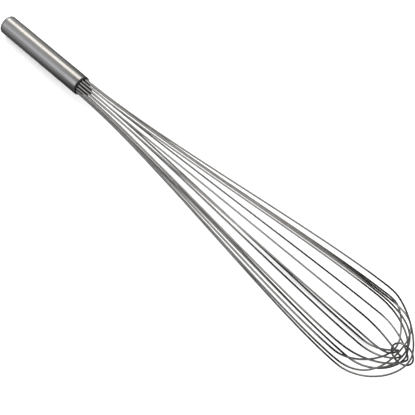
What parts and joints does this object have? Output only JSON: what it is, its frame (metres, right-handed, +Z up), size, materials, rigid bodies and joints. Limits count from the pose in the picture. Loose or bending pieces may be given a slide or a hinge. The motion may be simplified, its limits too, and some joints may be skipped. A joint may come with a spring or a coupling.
{
  "type": "balloon whisk",
  "caption": "Large balloon whisk with bent steel wire loops held at the tip by one captive ring, a black mouth seal and a plain tube handle with a closed butt.",
  "frame": {"origin": "On the table under the middle of the whisk's own bounding box as it lies at rest.", "axes": "+X along the whisk from the butt to the tip, +Z up from the table, +Y across. The whisk's own axis rises 4.5 degrees towards the tip, because the balloon is thicker than the handle and both touch the table."},
  "size_m": [0.7336, 0.117, 0.1202],
  "materials": {
    "handle_steel": "satin stainless, faint lines along the tube",
    "wire_steel": "bright drawn stainless wire",
    "black_nylon": "matt black moulded",
    "seal_resin": "dull cast resin, hidden in the handle"
  },
  "bodies": {
    "root": {"handle_tube": "handle_steel", "end_cap": "handle_steel", "mouth_collar": "black_nylon", "mouth_plug": "black_nylon", "inner_spacer": "black_nylon", "seal_plug": "seal_resin", "crown_ring": "wire_steel", "loop_wire_1": "wire_steel", "loop_wire_2": "wire_steel", "loop_wire_3": "wire_steel", "loop_wire_4": "wire_steel", "loop_wire_5": "wire_steel", "loop_wire_6": "wire_steel", "loop_wire_7": "wire_steel", "loop_wire_8": "wire_steel"}
  },
  "joints": []
}
